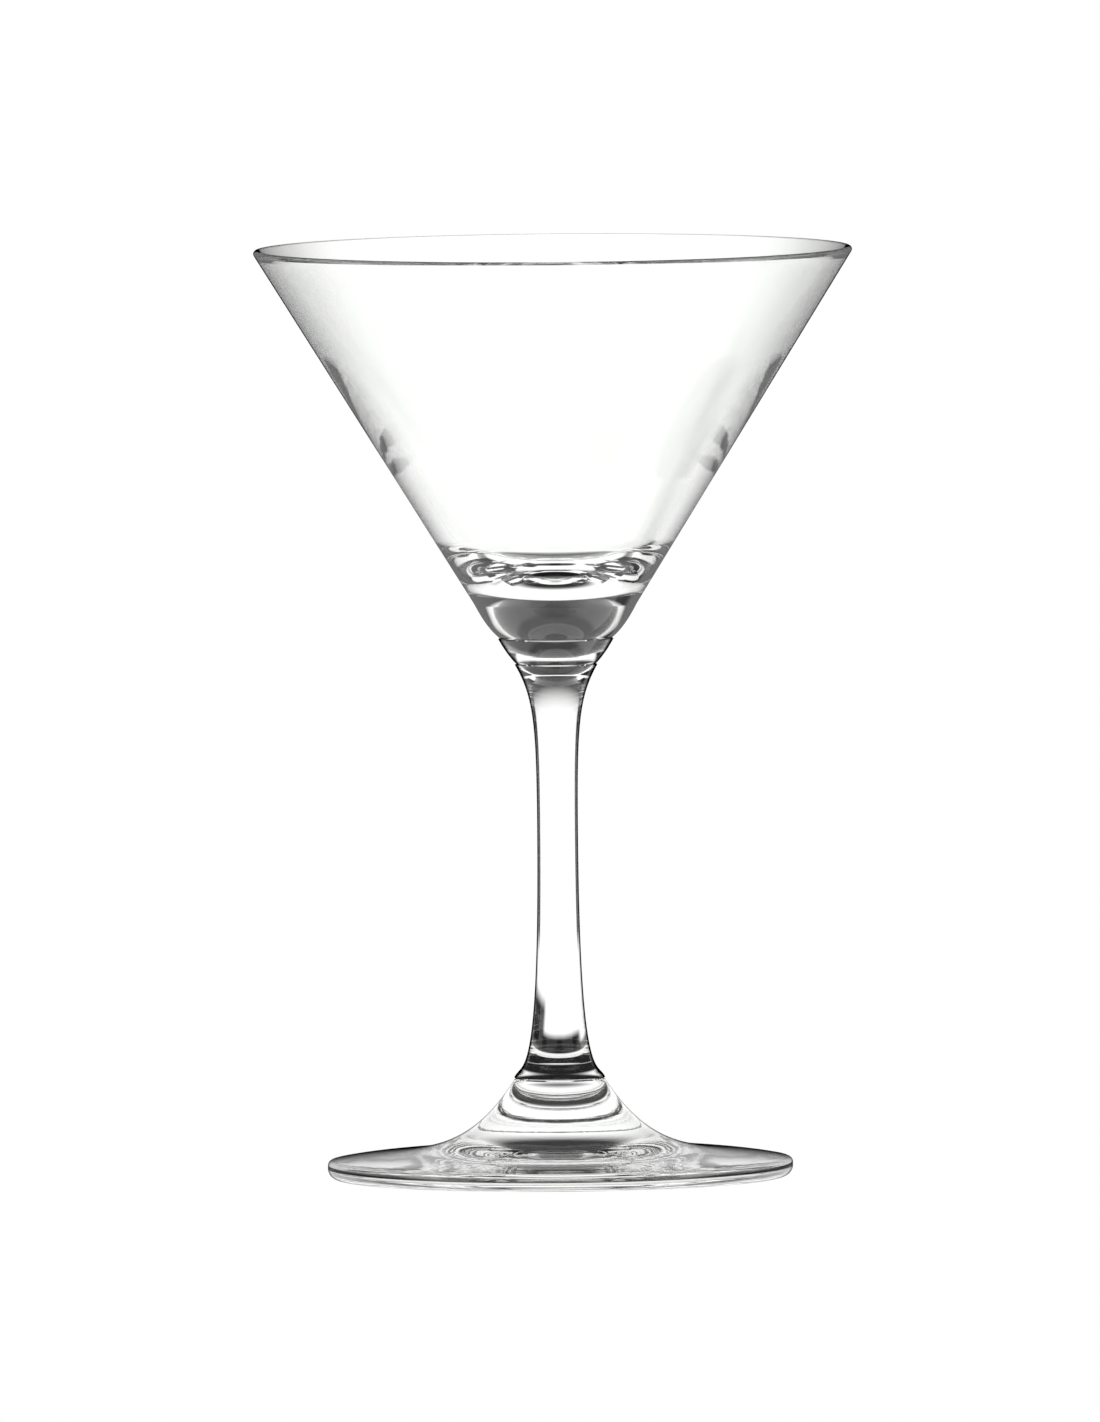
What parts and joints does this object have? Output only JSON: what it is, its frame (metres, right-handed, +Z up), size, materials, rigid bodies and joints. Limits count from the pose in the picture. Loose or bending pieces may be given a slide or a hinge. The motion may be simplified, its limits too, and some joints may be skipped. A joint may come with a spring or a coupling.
{
  "type": "martini glass",
  "caption": "Stemmed cocktail glass with a wide cone bowl, a small collar, a slim drawn stem and a round foot, all in clear glass.",
  "frame": {"origin": "centre of the plane that the foot rests on", "axes": "+Z up along the glass's axis of revolution, from the foot to the lip"},
  "size_m": [0.11, 0.11, 0.171],
  "materials": {
    "clear_glass": "fire-polished clear crystal"
  },
  "bodies": {
    "root": {"bowl": "clear_glass", "collar": "clear_glass", "stem": "clear_glass", "foot": "clear_glass"}
  },
  "joints": []
}
